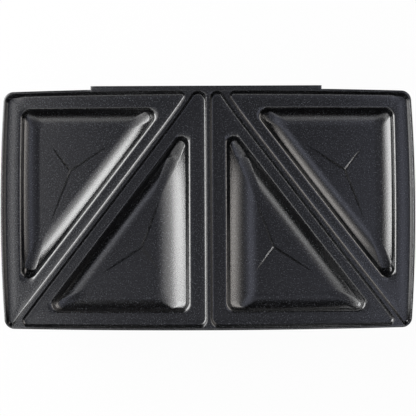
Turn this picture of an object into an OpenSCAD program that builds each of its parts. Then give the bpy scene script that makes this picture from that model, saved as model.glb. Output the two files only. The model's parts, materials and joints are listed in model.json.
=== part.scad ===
/* [Overall] */
// Overall width over the bowed sides of the plate
overall_w = 232; // [180:1:290]
// Overall depth from the front rim to the rear ledge
overall_d = 136.8; // [110:0.1:170]
// Overall height, feet to rim
overall_h = 48; // [42:0.5:60]

/* [Cooking plate] */
// Outward bow of each side rim
side_bow = 2.43; // [0:0.01:5]
// Outward bow of the front rim
front_bow = 1.42; // [0:0.01:4]
// Outward bow of the rear rim
rear_bow = 1.86; // [0:0.01:4]
// Outer corner radius of the plate
corner_r = 5; // [2:0.5:10]
// How far the rear ledge stands out past the rear rim
ledge_out = 1.43; // [0.5:0.01:6]
// Width of the rear ledge
ledge_w = 129.2; // [60:0.1:180]
// Sideways offset of the rear ledge
ledge_x = -0.7; // [-5:0.1:5]
// Height of the rim and of the dividing ridges above the crust flats
rim_h = 2.6; // [1:0.1:5]
// Width of the flat top of the outer rim
rim_land = 1.5; // [0.8:0.1:4]
// Width of the sloping flank of a rim or ridge
flank = 1.3; // [0.5:0.1:3]
// Width of the flat top of a dividing ridge
ridge_land = 1.2; // [0.6:0.1:4]
// Sideways offset of the centre ridge
ridge_x = 0.5; // [-3:0.1:3]
// Width of the crust flat beside the outer rim
crust_w = 7.3; // [4:0.1:14]
// Distance from a diagonal ridge's centre line to the pocket edge
crust_diag = 8; // [5:0.1:14]
// Distance from the middle of the plate to the inner pocket edges
crust_mid = 10.3; // [6:0.1:16]
// Depth of a pocket below the crust flats
pocket_d = 10; // [5:0.1:14]
// Slope of the outer pocket walls above their hollow, degrees from level
slope_outer = 77; // [50:1:82]
// Slope of the inner pocket walls above their hollow, degrees from level
slope_inner = 64; // [50:1:82]
// Slope of the slanting pocket walls above their hollow, degrees from level
slope_diag = 72; // [50:1:82]
// Hollow radius at the foot of the outer upright walls
foot_r_outer = 10; // [4:0.5:20]
// Hollow radius at the foot of the inner upright walls
foot_r_inner = 20; // [4:0.5:26]
// Hollow radius at the foot of the slanting walls
foot_r_diag = 12; // [4:0.5:20]
// Rounding of the pocket's upper edge
lip_r = 0.8; // [0.2:0.1:2]
// Corner radius of the pockets, seen from above
pocket_r = 4; // [2:0.1:8]
// Height of the creases on the pocket floors
crease_h = 0.75; // [0.2:0.05:1.5]
// Width of a crease where the three meet
crease_w = 1.2; // [0.5:0.1:4]
// How far a crease runs towards its corner, as a share
crease_reach = 0.42; // [0.1:0.01:0.8]
// Wall thickness of the casting
plate_t = 2.6; // [1.5:0.1:4]
// Thickness of the skirt under the rim
skirt_t = 3; // [2:0.1:5]

/* [Base] */
// Height of the feet
foot_h = 3; // [2:0.5:8]
// Wall thickness of the base housing
shell_t = 2.6; // [1.6:0.1:4]
// Height of the plate frame's seat above the floor line
seat_h = 36; // [30:0.5:48]
// How far the foot centres stand in from the plate's outline
foot_in = 29; // [22:1:45]

/* [Heater] */
// Diameter of the sheathed heating tube
tube_d = 6.6; // [5:0.1:9]
// How far the heater loop stands in from each side of the plate
loop_in_x = 41; // [30:0.5:60]
// How far the heater loop stands in from the front and the rear of the plate
loop_in_y = 36.4; // [32:0.1:45]
// Bend radius of the loop's corners
loop_r = 20; // [12:0.5:28]
// Half the distance between the heater's two ends
ends_x = 20; // [16:0.5:28]

/* [Catches and hinge bushes] */
// Travel of each plate catch
catch_travel = 11; // [8:0.5:14]
// Bore diameter of the hinge bushes
hinge_bore = 5; // [3:0.1:6]
// Distance of the hinge bushes behind the middle
hinge_y = 48; // [40:0.5:52]
// Bore diameter of the cord bushing
cord_bore = 7; // [5:0.1:8]

/* [Hidden] */
$fn = 48;

// named clearances
fit_gap = 0.05;
seat_gap = 0.3;
slide_gap = 0.3;

// outline, before the sides are bowed
half_w = overall_w / 2 - side_bow;
rim_d = overall_d - ledge_out;
half_d = (rim_d - front_bow - rear_bow) / 2;
mid_y = (front_bow + half_d) - overall_d / 2;

// heights
top_z = overall_h;
field_z = top_z - rim_h;
under_z = field_z - plate_t;
skirt_z = under_z - 2.3;
shell_top = skirt_z - seat_gap;
seat_z = seat_h + overall_h - 48;
floor_z = foot_h;
inner_z = floor_z + shell_t;
pocket_z = field_z - pocket_d;
bulge_z = pocket_z - plate_t;
tube_r = tube_d / 2;
loop_w = overall_w - 2 * loop_in_x;
loop_d = overall_d - 2 * loop_in_y;
groove_r = tube_r + 0.2;
heater_z = bulge_z - 0.3 - groove_r;
rib_z = heater_z - 0.3;
tray_z = heater_z - 8.5;
tray_t = 0.8;
tray_top = heater_z + 2;

// bowed outline: a centred point before bowing, then its place on the part
function bow(p) = let (u = abs(p[0]) / half_w, v = abs(p[1]) / half_d)
  [p[0] + sign(p[0]) * side_bow * (1 - min(1, v * v)) * pow(u, 8),
   p[1] + (p[1] > 0 ? rear_bow : -front_bow) * (1 - min(1, u * u)) * pow(v, 8) + mid_y];

function arc(c, r, a0, a1, n) = [for (i = [0:n]) let (a = a0 + (a1 - a0) * i / n)
  [c[0] + r * cos(a), c[1] + r * sin(a)]];
function between(p, q, n) = n < 1 ? [] : [for (i = [1:n]) p + (q - p) * i / (n + 1)];

// outline polygon, moved in by d, with corner radius r
function outline(d, r0 = -1, n = 4, m = 7) = let (
    r = r0 > 0 ? r0 : max(0.6, corner_r - d), a = half_w - d - r, b = half_d - d - r,
    c = [[a, b], [-a, b], [-a, -b], [a, -b]],
    k = [for (i = [0:3]) arc(c[i], r, 90 * i, 90 * i + 90, n)])
  [for (i = [0:3]) for (p = concat(k[i], between(k[i][n], k[(i + 1) % 4][0], m))) bow(p)];
function at_z(ring, z) = [for (p = ring) [p[0], p[1], z]];

// closed solid through rings of equal length, lowest first, each counter-clockwise
module loft(rings) {
  n = len(rings[0]);
  m = len(rings);
  polyhedron(points = [for (r = rings) for (p = r) p], faces = concat(
    [[for (i = [0:n - 1]) i]],
    [for (j = [0:m - 2]) for (i = [0:n - 1]) let (a = j * n + i, b = j * n + (i + 1) % n)
      each [[a, a + n, b], [b, a + n, b + n]]],
    [[for (i = [n - 1:-1:0]) (m - 1) * n + i]]));
}

// diagonal ridge of the left half: a point on it and its normal towards the upper field
diag_p = [-9, half_d - 1.8];
diag_q = [-(half_w - 7.5), -(half_d - 4)];
diag_u = (diag_p - diag_q) / norm(diag_p - diag_q);
diag_n = [-diag_u[1], diag_u[0]];

// sharp corners of a triangle of the left half. up is 1 for the rear triangle, -1 for the front one
function tri(up, xv, yh, off) = let (n = up * diag_n)
  [[xv, yh], [xv, diag_p[1] + (off - n[0] * (xv - diag_p[0])) / n[1]],
   [diag_p[0] + (off - n[1] * (yh - diag_p[1])) / n[0], yh]];

// radius that rounds the long tip of a triangle off at distance y from the middle
function tip_r(v, y) = let (a = (v[0] - v[1]) / norm(v[0] - v[1]), b = (v[2] - v[1]) / norm(v[2] - v[1]))
  (abs(v[1][1]) - y) / (1 / tan(acos(a * b) / 2) - 1);

// triangle with rounded corners, counter-clockwise
function rounded(v, r, nc, ne) = let (k = [for (i = [0:2]) let (
    a = (v[(i + 2) % 3] - v[i]) / norm(v[(i + 2) % 3] - v[i]),
    b = (v[(i + 1) % 3] - v[i]) / norm(v[(i + 1) % 3] - v[i]),
    h = acos(a * b) / 2, t = r[i] / tan(h),
    c = v[i] + (a + b) / norm(a + b) * r[i] / sin(h), s = v[i] + a * t - c,
    a0 = atan2(s[1], s[0])) arc(c, r[i], a0, a0 + 180 - 2 * h, nc)])
  [for (i = [0:2]) each concat(k[i], between(k[i][nc], k[(i + 1) % 3][0], ne))];

// crust field of a triangle at inset d from the foot of the rim's flank
field_in = rim_land + flank;
ridge_in = ridge_land / 2 + flank;
function field_ring(up, d, nc, ne, side) = let (v = up > 0
    ? tri(1, -(half_w - field_in) + d, half_d - field_in - d, ridge_in + d)
    : tri(-1, -side * ridge_x - ridge_in - d, -(half_d - field_in) + d, ridge_in + d))
  rounded(v, [3.2 - d, tip_r(v, half_d - field_in - d), up > 0 ? 1.3 - d / 2 : 2.2 - d / 2], nc, ne);

// inset of a pocket wall at depth z, for hollow radius r, slope a and skin t (0 for the cooking side).
// the hollow starts at 45 degrees, under a steep wall and a rounded lip
hollow_end = 45;
function foot_c(r, a) = r * sin(hollow_end) + (pocket_d - r * (1 - cos(hollow_end))) / tan(a);
function wall_in(z, r, a, t) = let (h = max(0, pocket_d + t - z), q = r + t)
  t == 0 && z < lip_r * (1 - cos(a))
    ? lip_r * (sin(acos(1 - z / lip_r)) - tan(a / 2))
    : h > q * (1 - cos(hollow_end)) ? z / tan(a) - t / sin(a)
    : foot_c(r, a) - q * sin(acos(max(-1, 1 - h / q)));
// the wall keeps its slope round the corners: their radius shrinks as the wall comes in
function corner_in(r, s, least, share) = max(least, r - share * s);
function pocket_ring(up, z, t, nc, ne) = let (
    v = up > 0 ? wall_in(z, foot_r_outer, slope_outer, t) : wall_in(z, foot_r_inner, slope_inner, t),
    h = wall_in(z, foot_r_outer, slope_outer, t),
    s = wall_in(z, foot_r_diag, slope_diag, t), tip = corner_in(pocket_r, s, 1 + t, 1))
  rounded(up > 0
    ? tri(1, -(half_w - field_in - crust_w) + v, half_d - field_in - crust_w - h, crust_diag + s)
    : tri(-1, -crust_mid - v, -(half_d - field_in - crust_w + 0.4) + h, crust_diag + s),
    [corner_in(pocket_r + 0.6, s, 3 + t, 0.4), tip, tip], nc, ne);
function on_part(ring, side) = side < 0 ? [for (p = ring) bow(p)]
  : [for (i = [len(ring) - 1:-1:0]) bow([-ring[i][0], ring[i][1]])];

nc = 6;
ne = 3;
lip_z = [0, 0.12, 0.6, 4.14, 5.4, 6.49, 7.07, 8, 8.8, 9.4, 9.85];
module field_cutter(up, side) {
  loft(concat(
    [for (i = [len(lip_z):-1:0]) let (z = i == len(lip_z) ? pocket_d : lip_z[i] * pocket_d / 10)
      at_z(on_part(pocket_ring(up, z, 0, nc, ne), side), field_z - z)],
    [for (k = [[0.3, 0], [-0.3, 0.25], [-0.75, 0.9], [-flank, rim_h], [-flank - 0.2, rim_h + 1]])
      at_z(on_part(field_ring(up, k[0], nc, ne, side), side), field_z + k[1])]));
}
skin_z = [0.6, 4, 6.2, 8.4, 9.2, 10.6, 11.7, 12.4];
module bulge(up, side) {
  s = (pocket_d + plate_t) / 12.6;
  loft([for (i = [len(skin_z):-1:0]) let (z = i == len(skin_z) ? pocket_d + plate_t : skin_z[i] * s)
    at_z(on_part(pocket_ring(up, z, plate_t, 5, 2), side), field_z - z)]);
}
// three tapering creases that meet at the middle of a pocket floor
module creases(up, side) {
  v = up > 0
    ? tri(1, -(half_w - field_in - crust_w), half_d - field_in - crust_w, crust_diag)
    : tri(-1, -crust_mid, -(half_d - field_in - crust_w + 0.4), crust_diag);
  w = [for (p = v) bow([side < 0 ? p[0] : -p[0], p[1]])];
  c = (w[0] + w[1] + w[2]) / 3;
  for (p = w) {
    u = (p - c) / norm(p - c);
    l = norm(p - c) * crease_reach;
    n = [-u[1], u[0]] * crease_w / 2;
    k = (crease_h + 0.4) / crease_h;
    loft([for (q = [[-0.4, k], [crease_h * 0.9, 0.1]])
      [for (g = [[l, 0.02], [l * 0.85, 0.4], [l * 0.6, 0.78], [-crease_w / 4, 1],
          [-crease_w / 4, -1], [l * 0.6, -0.78], [l * 0.85, -0.4], [l, -0.02]])
        [c[0] + u[0] * g[0] + n[0] * g[1] * q[1], c[1] + u[1] * g[0] + n[1] * g[1] * q[1],
         pocket_z + (q[0] > 0 ? q[0] * abs(g[1]) : q[0])]]]);
  }
}

module box(x0, x1, y0, y1, z0, z1) {
  translate([x0, y0, z0]) cube([x1 - x0, y1 - y0, z1 - z0]);
}
module rod(x, y, z0, z1, r) {
  translate([x, y, z0]) cylinder(r = r, h = z1 - z0);
}
module rod_x(x0, x1, y, z, r) {
  translate([x0, y, z]) rotate([0, 90, 0]) cylinder(r = r, h = x1 - x0);
}
module rod_y(x, y0, y1, z, r) {
  translate([x, y1, z]) rotate([90, 0, 0]) cylinder(r = r, h = y1 - y0);
}
module slab(w, d, r, z0, z1) {
  translate([0, 0, z0]) linear_extrude(z1 - z0) {
    square([w - 2 * r, d], center = true);
    square([w, d - 2 * r], center = true);
    for (x = [-1, 1]) for (y = [-1, 1])
      translate([x * (w / 2 - r), y * (d / 2 - r)]) circle(r = r);
  }
}
module sides() {
  children();
  mirror([1, 0, 0]) children();
}

// catch geometry, on the right-hand side: distances in from the widest point of the outline
catch_o = overall_w / 2 - 6.7;
catch_t = 2.2;
lug_o = catch_o - catch_t - 0.6;
lug_t = 4;
tooth_in = 2.3;
catch_y0 = -24;
catch_y1 = 0;
tooth_y0 = -15.5;
tooth_y1 = -8.5;
lug_y0 = tooth_y1 + 1.5;
lug_y1 = lug_y0 + 16;
track_z = rib_z - 2;
catch_z0 = track_z + slide_gap;
catch_z1 = seat_z - slide_gap;
tooth_z0 = catch_z1 - 3.3;
tooth_z1 = catch_z1 - 0.5;

module lug() {
  difference() {
    box(lug_o - lug_t, lug_o, lug_y0, lug_y1, tooth_z0 - 2.6, under_z + 1);
    box(lug_o - lug_t - 1, lug_o + 1, lug_y0 - 1, lug_y0 + 12, tooth_z0 - 0.4, tooth_z1 + 0.4);
  }
}

module heater_rib() {
  difference() {
    slab(loop_w + 11, loop_d + 11, loop_r + 5.5, rib_z, under_z + 0.5);
    slab(loop_w - 11, loop_d - 11, loop_r - 5.5, rib_z - 1, under_z + 1);
    box(-ends_x - 16, ends_x + 16, loop_d / 2 - 8, loop_d / 2 + 8, rib_z - 1, under_z + 1);
  }
}

module tube_loop(r) {
  a = loop_w / 2;
  b = loop_d / 2;
  e = loop_r;
  sides() {
    translate([a - e, b - e, heater_z]) rotate_extrude(angle = 90) translate([e, 0]) circle(r = r);
    translate([a - e, e - b, heater_z]) rotate([0, 0, -90]) rotate_extrude(angle = 90)
      translate([e, 0]) circle(r = r);
    rod_y(a, e - b, b - e, heater_z, r);
    rod_x(ends_x + 12, a - e, b, heater_z, r);
    translate([ends_x + 12, b + 12, heater_z]) rotate([0, 0, 180]) rotate_extrude(angle = 90)
      translate([12, 0]) circle(r = r);
    rod_y(ends_x, b + 12, b + 17, heater_z, r);
  }
  rod_x(e - a, a - e, -b, heater_z, r);
}
end_y = loop_d / 2 + 17;

module plate_body() {
  difference() {
    loft([at_z(outline(0.4), skirt_z), at_z(outline(0), skirt_z + 0.4), at_z(outline(0), top_z - 0.4),
      at_z(outline(0.4), top_z)]);
    translate([0, 0, skirt_z - 1]) linear_extrude(under_z - skirt_z + 1) polygon(outline(skirt_t));
  }
  box(ledge_x - ledge_w / 2, ledge_x + ledge_w / 2, half_d + mid_y - 1.6, overall_d / 2,
    top_z - 3.6, top_z);
  for (s = [-1, 1]) {
    bulge(1, s);
    bulge(-1, s);
  }
}

module cooking_plate() {
  color([0.16, 0.16, 0.17]) {
    difference() {
      union() {
        plate_body();
        heater_rib();
        sides() lug();
      }
      for (s = [-1, 1]) {
        field_cutter(1, s);
        field_cutter(-1, s);
      }
      tube_loop(groove_r);
    }
    for (s = [-1, 1]) {
      creases(1, s);
      creases(-1, s);
    }
  }
}

// base housing
boss_x = half_w - 12.5;
boss_y = -(half_d - 12) + mid_y;
rear_boss_y = half_d - 11 + mid_y;
tray_bx = loop_w / 2 + 5;
tray_by = loop_d / 2 + 6;
foot_x = overall_w / 2 - foot_in;
foot_y = overall_d / 2 - foot_in + 4;
cord_x = 52;
cord_z = inner_z + 5.9;
cord_y1 = half_d - 3 + mid_y;
clamp_y = cord_y1 - 16;
hinge_z = seat_z - 8;
hinge_x1 = half_w - 1.4;
hinge_len = 9;
hinge_boss_r = hinge_bore / 2 + 4.1;
hinge_end = 1;
block = [30, 12, 11];
block_x = -16;
block_y = 33;
vent_n = 9;

module tub() {
  loft([for (k = [[13, 12, 0], [11, 13, 0.7], [9.2, 14, 2], [7.3, 14, 4.8], [6.1, 13.5, 8], [5.2, 13, 12]])
      at_z(outline(k[0], k[1], 7), floor_z + k[2]),
    at_z(outline(1, 4, 7), shell_top)]);
}
module base_housing() {
  color([0.12, 0.12, 0.13]) difference() {
    union() {
      difference() {
        union() {
          tub();
          rod_y(cord_x, cord_y1 - 6, cord_y1, cord_z, 8.5);
        }
        loft([at_z(outline(15, 11, 6), inner_z), at_z(outline(10.6, 12, 6), inner_z + 3),
          at_z(outline(5.2 + shell_t, 10.5, 6), inner_z + 9), at_z(outline(5.2, 3.5, 6), seat_z),
          at_z(outline(5.2, 3.5, 6), seat_z + 0.5)]);
        translate([0, 0, seat_z]) linear_extrude(shell_top) polygon(outline(3.6));
      }
      intersection() {
        union() {
          sides() {
            rod(boss_x, boss_y, inner_z - 1, seat_z, 4);
            rod_x(hinge_x1 - hinge_len - hinge_end, hinge_x1, hinge_y, hinge_z, hinge_boss_r);
            for (y = [-1, 1]) rod(tray_bx, y * tray_by, inner_z - 1, tray_z, 4);
            box(lug_o - lug_t, overall_w / 2, catch_y0 - 4, catch_y1 + catch_travel + 4,
              track_z - 3, track_z + 1.6);
          }
          rod(0, rear_boss_y, inner_z - 1, seat_z, 4);
          for (x = [-1, 1]) rod(cord_x + x * 8, clamp_y, inner_z - 1, cord_z + 1.5, 2.6);
          box(cord_x - 3, cord_x + 3, clamp_y - 3, clamp_y + 3, inner_z - 1, cord_z - 3.6);
          rod_y(cord_x, cord_y1 - 9, cord_y1, cord_z, 8.5);
        }
        union() {
          tub();
          rod_y(cord_x, cord_y1 - 9, cord_y1, cord_z, 8.5);
          sides() rod_x(hinge_x1 - hinge_len, hinge_x1, hinge_y, hinge_z, hinge_boss_r);
        }
      }
    }
    sides() {
      rod(boss_x, boss_y, seat_z - 12, seat_z + 1, 1.5 + fit_gap);
      rod_x(hinge_x1 - hinge_len, hinge_x1 + 5, hinge_y, hinge_z, hinge_bore / 2 + 2 + fit_gap);
      rod_x(hinge_x1, hinge_x1 + 5, hinge_y, hinge_z, hinge_bore / 2 + 3.5 + slide_gap);
      for (y = [-1, 1]) {
        rod(tray_bx, y * tray_by, tray_z - 8, tray_z + 1, 1.5 + fit_gap);
        rod(foot_x, y * foot_y, floor_z - 1, inner_z + 1, 2.5 + fit_gap);
      }
      // track and slot of the catch
      box(catch_o - catch_t - slide_gap, catch_o + slide_gap, catch_y0 - slide_gap,
        catch_y1 + catch_travel + slide_gap, track_z, track_z + 3);
      box(catch_o - 2, catch_o + slide_gap, catch_y0 - slide_gap,
        catch_y1 + catch_travel + slide_gap, track_z + 2, seat_z);
      box(catch_o - 1, overall_w / 2 + 1, tooth_y0 - 0.8, tooth_y1 + catch_travel + 0.8,
        tooth_z0 - 1.4, tooth_z1 + 0.3);
    }
    rod(0, rear_boss_y, seat_z - 12, seat_z + 1, 1.5 + fit_gap);
    rod_y(cord_x, cord_y1 - 12, cord_y1 + 5, cord_z, cord_bore / 2 + 2.5 + fit_gap);
    for (x = [-1, 1]) rod(cord_x + x * 8, clamp_y, cord_z - 5, cord_z + 2, 1.2 + fit_gap);
    for (i = [0:vent_n - 1]) {
      x = (i - (vent_n - 1) / 2) * 13;
      box(x - 1.5, x + 1.5, -overall_d * 0.3, -overall_d * 0.3 + 26, floor_z - 1, inner_z + 1);
    }
  }
}

module plate_frame() {
  color([0.62, 0.62, 0.64]) difference() {
    union() {
      translate([0, 0, seat_z]) linear_extrude(under_z - seat_gap - seat_z) difference() {
        polygon(outline(3.75));
        polygon(outline(7.2));
      }
      sides() rod(boss_x, boss_y, seat_z, seat_z + 2.2, 6);
      rod(0, rear_boss_y, seat_z, seat_z + 2.2, 6);
      sides() box(boss_x - 6, boss_x + 6, -(half_d - 6) + mid_y, boss_y, seat_z, seat_z + 2.2);
    }
    sides() rod(boss_x, boss_y, seat_z - 1, seat_z + 4, 1.6);
    rod(0, rear_boss_y, seat_z - 1, seat_z + 4, 1.6);
  }
}

tray_w = loop_w + 44;
tray_d = loop_d + 34;
therm = let (v = tri(-1, -crust_mid, -(half_d - field_in - crust_w + 0.4), crust_diag),
  c = (v[0] + v[1] + v[2]) / 3) bow([-c[0] - 3, c[1] + 7.5]);

module reflector_tray() {
  color([0.78, 0.79, 0.8]) difference() {
    slab(tray_w, tray_d, 14, tray_z, tray_top);
    slab(tray_w - 2 * tray_t, tray_d - 2 * tray_t, 14 - tray_t, tray_z + tray_t, tray_top + 1);
    sides() {
      for (y = [-1, 1]) rod(tray_bx, y * tray_by, tray_z - 1, tray_z + 2, 1.6);
      box(ends_x - 5, ends_x + 5, tray_d / 2 - 4, tray_d / 2 + 1, heater_z - 5, tray_top + 1);
    }
    rod(therm[0], therm[1], tray_z - 1, tray_z + 2, 9.4);
    for (x = [-1, 1]) rod(therm[0] + x * 15, therm[1], tray_z - 1, tray_z + 2, 1.25);
    rod(-40, 4, tray_z - 1, tray_z + 2, 1.6);
  }
}

module heater_element() {
  color([0.35, 0.33, 0.31]) tube_loop(tube_r);
}
module heater_seals() {
  color([0.92, 0.9, 0.85]) sides() difference() {
    rod_y(ends_x, end_y, end_y + 3, heater_z, 2.6);
    rod_y(ends_x, end_y - 1, end_y + 4, heater_z, 1 + fit_gap);
  }
}
module heater_pins() {
  color([0.7, 0.7, 0.7]) sides() rod_y(ends_x, end_y, end_y + 6.5, heater_z, 1);
}
module saddle(x, y, a) {
  translate([x, y, 0]) rotate([0, 0, a]) difference() {
    union() {
      box(-5.2, 5.2, -2.5, 2.5, tray_z + tray_t, heater_z - 0.6);
      box(-9, 9, -2.5, 2.5, tray_z + tray_t, tray_z + tray_t + 1);
    }
    rod_y(0, -4, 4, heater_z, tube_r + fit_gap);
  }
}
module heater_saddles() {
  color([0.72, 0.73, 0.74]) {
    sides() {
      saddle(loop_w / 2, 0, 0);
      for (y = [-1, 1]) saddle(loop_w / 2 - loop_r - 4, y * loop_d / 2, 90);
    }
  }
}

cap_z = bulge_z - 0.25;
module thermostat_body() {
  color([0.85, 0.8, 0.72]) translate([therm[0], therm[1], 0]) {
    rod(0, 0, tray_z - 6, cap_z - 5, 7.5);
    for (x = [-1, 1]) box(x * 4.5 - 0.4, x * 4.5 + 0.4, -3, 3, tray_z - 12, tray_z - 5.5);
  }
}
module thermostat_cap() {
  color([0.8, 0.8, 0.82]) translate([therm[0], therm[1], 0]) {
    rod(0, 0, cap_z - 5, cap_z, 8);
    rod(0, 0, cap_z - 5, cap_z - 4.2, 8.8);
  }
}
bracket_z = tray_z + tray_t;
module thermostat_bracket() {
  color([0.66, 0.66, 0.68]) translate([therm[0], therm[1], 0]) difference() {
    union() {
      rod(0, 0, bracket_z, bracket_z + 1, 11);
      box(-19, 19, -4, 4, bracket_z, bracket_z + 1);
    }
    rod(0, 0, bracket_z - 1, bracket_z + 2, 7.5 + fit_gap);
    for (x = [-1, 1]) rod(x * 15, 0, bracket_z - 1, bracket_z + 2, 1.25);
  }
}
module screw(x, y, z, r, len, head) {
  rod(x, y, z - len, z + 0.5, r);
  difference() {
    rod(x, y, z, z + 1.6, head);
    box(x - head, x + head, y - 0.35, y + 0.35, z + 0.9, z + 2);
    box(x - 0.35, x + 0.35, y - head, y + head, z + 0.9, z + 2);
  }
}
module bracket_screws() {
  color([0.7, 0.7, 0.72])
    for (x = [-1, 1]) screw(therm[0] + x * 15, therm[1], bracket_z + 1, 1.2, 4, 2.4);
}
fuse = [therm[0] + 26, 6, tray_z - 3.2];
module thermal_fuse() {
  color([0.86, 0.84, 0.78]) {
    rod_x(fuse[0] - 5.5, fuse[0] + 5.5, fuse[1], fuse[2], 2);
    rod_x(fuse[0] - 9, fuse[0] + 9, fuse[1], fuse[2], 0.5);
  }
}
module fuse_clip() {
  color([0.68, 0.68, 0.7]) difference() {
    union() {
      box(fuse[0] - 3, fuse[0] + 3, fuse[1] - 3, fuse[1] + 3, fuse[2] - 1, tray_z);
      box(fuse[0] - 3, fuse[0] + 3, fuse[1] - 7, fuse[1] + 7, tray_z - 0.8, tray_z);
    }
    rod_x(fuse[0] - 5, fuse[0] + 5, fuse[1], fuse[2], 2 + fit_gap);
  }
}
module terminal_block() {
  color([0.9, 0.88, 0.82]) difference() {
    translate([block_x, block_y, inner_z]) translate([-block[0] / 2, -block[1] / 2, 0]) cube(block);
    for (x = [-1, 0, 1]) {
      rod_y(block_x + x * 10, block_y - 10, block_y + 10, inner_z + 4.5, 1.7);
      rod(block_x + x * 10, block_y, inner_z + 7, inner_z + block[2] + 1, 2.3);
    }
    for (x = [-0.5, 0.5])
      box(block_x + x * 10 - 0.6, block_x + x * 10 + 0.6, block_y - 7, block_y + 7,
        inner_z + 8, inner_z + block[2] + 1);
  }
}
module terminal_screws() {
  color([0.8, 0.7, 0.35]) for (x = [-1, 0, 1]) difference() {
    rod(block_x + x * 10, block_y, inner_z + 7, inner_z + 10, 2.3 - fit_gap);
    box(block_x + x * 10 - 3, block_x + x * 10 + 3, block_y - 0.3, block_y + 0.3,
      inner_z + 9.2, inner_z + 11);
  }
}
module cord_bushing() {
  color([0.1, 0.1, 0.1]) difference() {
    union() {
      rod_y(cord_x, cord_y1 - 9, cord_y1, cord_z, cord_bore / 2 + 2.5);
      rod_y(cord_x, cord_y1, cord_y1 + 1.5, cord_z, cord_bore / 2 + 4);
    }
    rod_y(cord_x, cord_y1 - 10, cord_y1 + 3, cord_z, cord_bore / 2);
  }
}
module cord_clamp() {
  color([0.2, 0.2, 0.21]) difference() {
    box(cord_x - 11, cord_x + 11, clamp_y - 3, clamp_y + 3, cord_z + 1.5, cord_z + 5);
    rod_y(cord_x, clamp_y - 5, clamp_y + 5, cord_z, cord_bore / 2);
    for (x = [-1, 1]) rod(cord_x + x * 8, clamp_y, cord_z, cord_z + 6, 1.3);
  }
}
module clamp_screws() {
  color([0.7, 0.7, 0.72])
    for (x = [-1, 1]) screw(cord_x + x * 8, clamp_y, cord_z + 5, 1.2, 8.5, 2.3);
}
spade_y = end_y + 3.6;
module spade_connectors() {
  color([0.8, 0.78, 0.7]) {
    sides() difference() {
      box(ends_x - 2, ends_x + 2, spade_y, spade_y + 3.4, heater_z - 6, heater_z + 1.8);
      rod_y(ends_x, spade_y - 1, spade_y + 5, heater_z, 1 + fit_gap);
    }
    for (x = [-1, 1]) translate([therm[0] + x * 4.5, therm[1], 0]) difference() {
      box(-1.3, 1.3, -3.8, 3.8, tray_z - 12.6, tray_z - 7.4);
      box(-0.4 - fit_gap, 0.4 + fit_gap, -3 - fit_gap, 3 + fit_gap, tray_z - 12.05, tray_z - 5);
    }
  }
}

// smooth lead: a tube of radius r along a cubic from a to d, leaving towards b and arriving from c
function cubic(a, b, c, d, t) = a * pow(1 - t, 3) + 3 * b * t * pow(1 - t, 2) + 3 * c * t * t * (1 - t)
  + d * pow(t, 3);
module lead(a, b, c, d, r, up) {
  n = 14;
  loft([for (i = [0:n]) let (t = i / n, p = cubic(a, b, c, d, t),
      e = cubic(a, b, c, d, min(1, t + 0.01)) - cubic(a, b, c, d, max(0, t - 0.01)),
      f = e / norm(e), g = cross(f, up) / norm(cross(f, up)), h = cross(g, f))
    [for (k = [0:7]) p + r * (g * cos(45 * k) - h * sin(45 * k))]]);
}
lead_r = 1.2;
spade_z = heater_z - 6.05;
module lead_neutral() {
  color([0.2, 0.35, 0.75]) lead([-ends_x, spade_y + 1.7, spade_z],
    [-ends_x, spade_y + 1.7, spade_z - 12], [block_x - 10, block_y + 26, inner_z + 4.5],
    [block_x - 10, block_y + block[1] / 2 - 3, inner_z + 4.5], lead_r, [1, 0.3, 0]);
}
module lead_heater() {
  color([0.75, 0.2, 0.15]) lead([ends_x, spade_y + 1.7, spade_z],
    [ends_x, spade_y + 1.7, spade_z - 22], [therm[0] - 4.5, therm[1] + 40, tray_z - 10],
    [therm[0] - 4.5, therm[1] + 3.85, tray_z - 10], lead_r, [1, 0.2, 0]);
}
module lead_fuse() {
  color([0.45, 0.25, 0.12]) lead([block_x + 10, block_y - block[1] / 2 + 3, inner_z + 4.5],
    [block_x + 10, block_y - 26, inner_z + 4.5], [fuse[0] - 24, fuse[1], fuse[2]],
    [fuse[0] - 9.03, fuse[1], fuse[2]], lead_r, [0, 0.1, 1]);
}
module lead_thermostat() {
  color([0.45, 0.25, 0.12]) lead([fuse[0] + 9.03, fuse[1], fuse[2]],
    [fuse[0] + 32, fuse[1], fuse[2]], [therm[0] + 4.5, therm[1] - 28, tray_z - 10],
    [therm[0] + 4.5, therm[1] - 3.85, tray_z - 10], lead_r, [0, 0.1, 1]);
}
module lead_earth() {
  color([0.3, 0.6, 0.2]) lead([block_x, block_y - block[1] / 2 + 3, inner_z + 4.5],
    [block_x, block_y - 32, inner_z + 4.5], [-24, 4, tray_z - 3],
    [-35.85, 4, tray_z - 2], lead_r, [0, 0.1, 1]);
}
module earth_tag() {
  color([0.8, 0.72, 0.4]) {
    difference() {
      union() {
        rod(-40, 4, tray_z - 1, tray_z, 3.6);
        box(-40, -36, 2.4, 5.6, tray_z - 3.4, tray_z);
      }
      rod(-40, 4, tray_z - 2, tray_z + 1, 1.6);
    }
    screw(-40, 4, tray_z + tray_t, 1.55, 5, 3);
  }
}

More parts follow.
